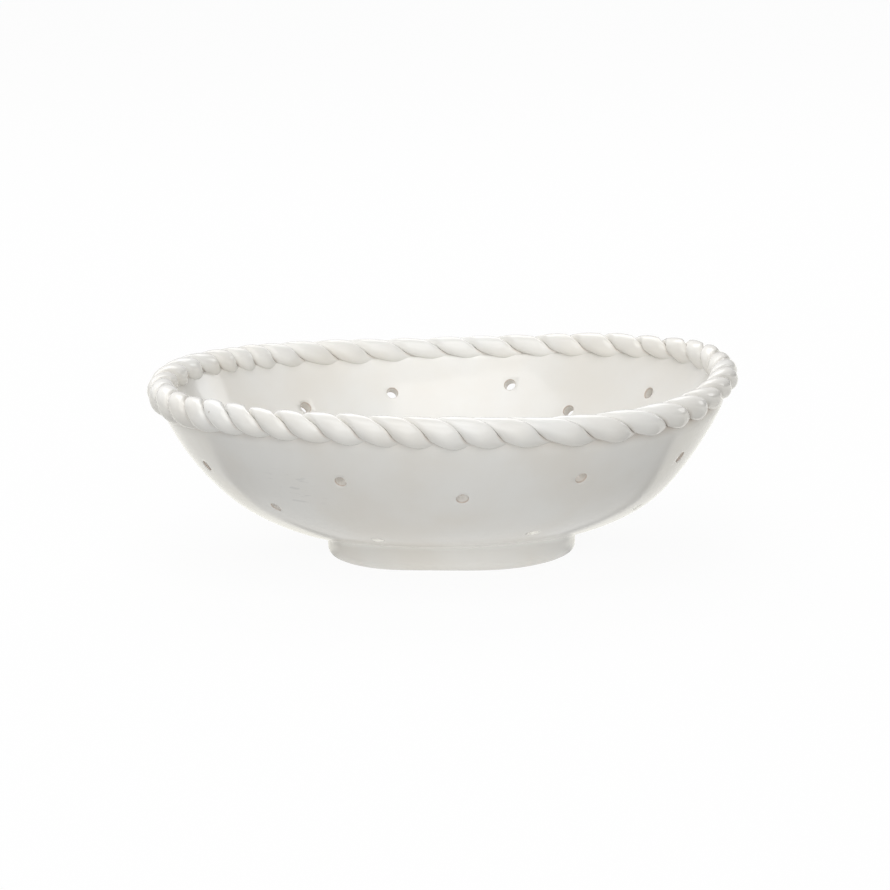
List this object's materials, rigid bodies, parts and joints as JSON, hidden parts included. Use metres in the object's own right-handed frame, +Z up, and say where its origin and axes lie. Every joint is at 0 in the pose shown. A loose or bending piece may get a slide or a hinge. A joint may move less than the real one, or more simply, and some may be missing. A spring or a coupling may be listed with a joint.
{
  "type": "berry colander bowl",
  "caption": "Wide flared ceramic bowl on a low foot ring, its wall and floor pierced with small drain holes, its rim a twisted rope of clay. Rinses, drains and serves berries.",
  "frame": {"origin": "on the bowl's turning axis, on the table under the foot ring", "axes": "+Z up along the bowl's axis, +X to the right of the side that the picture shows, +Y away from it"},
  "size_m": [0.2537, 0.2514, 0.0834],
  "materials": {
    "white_glaze": "gloss"
  },
  "bodies": {
    "root": {"bowl_shell": "white_glaze", "foot_ring": "white_glaze", "rope_strand_a": "white_glaze", "rope_strand_b": "white_glaze"}
  },
  "joints": []
}
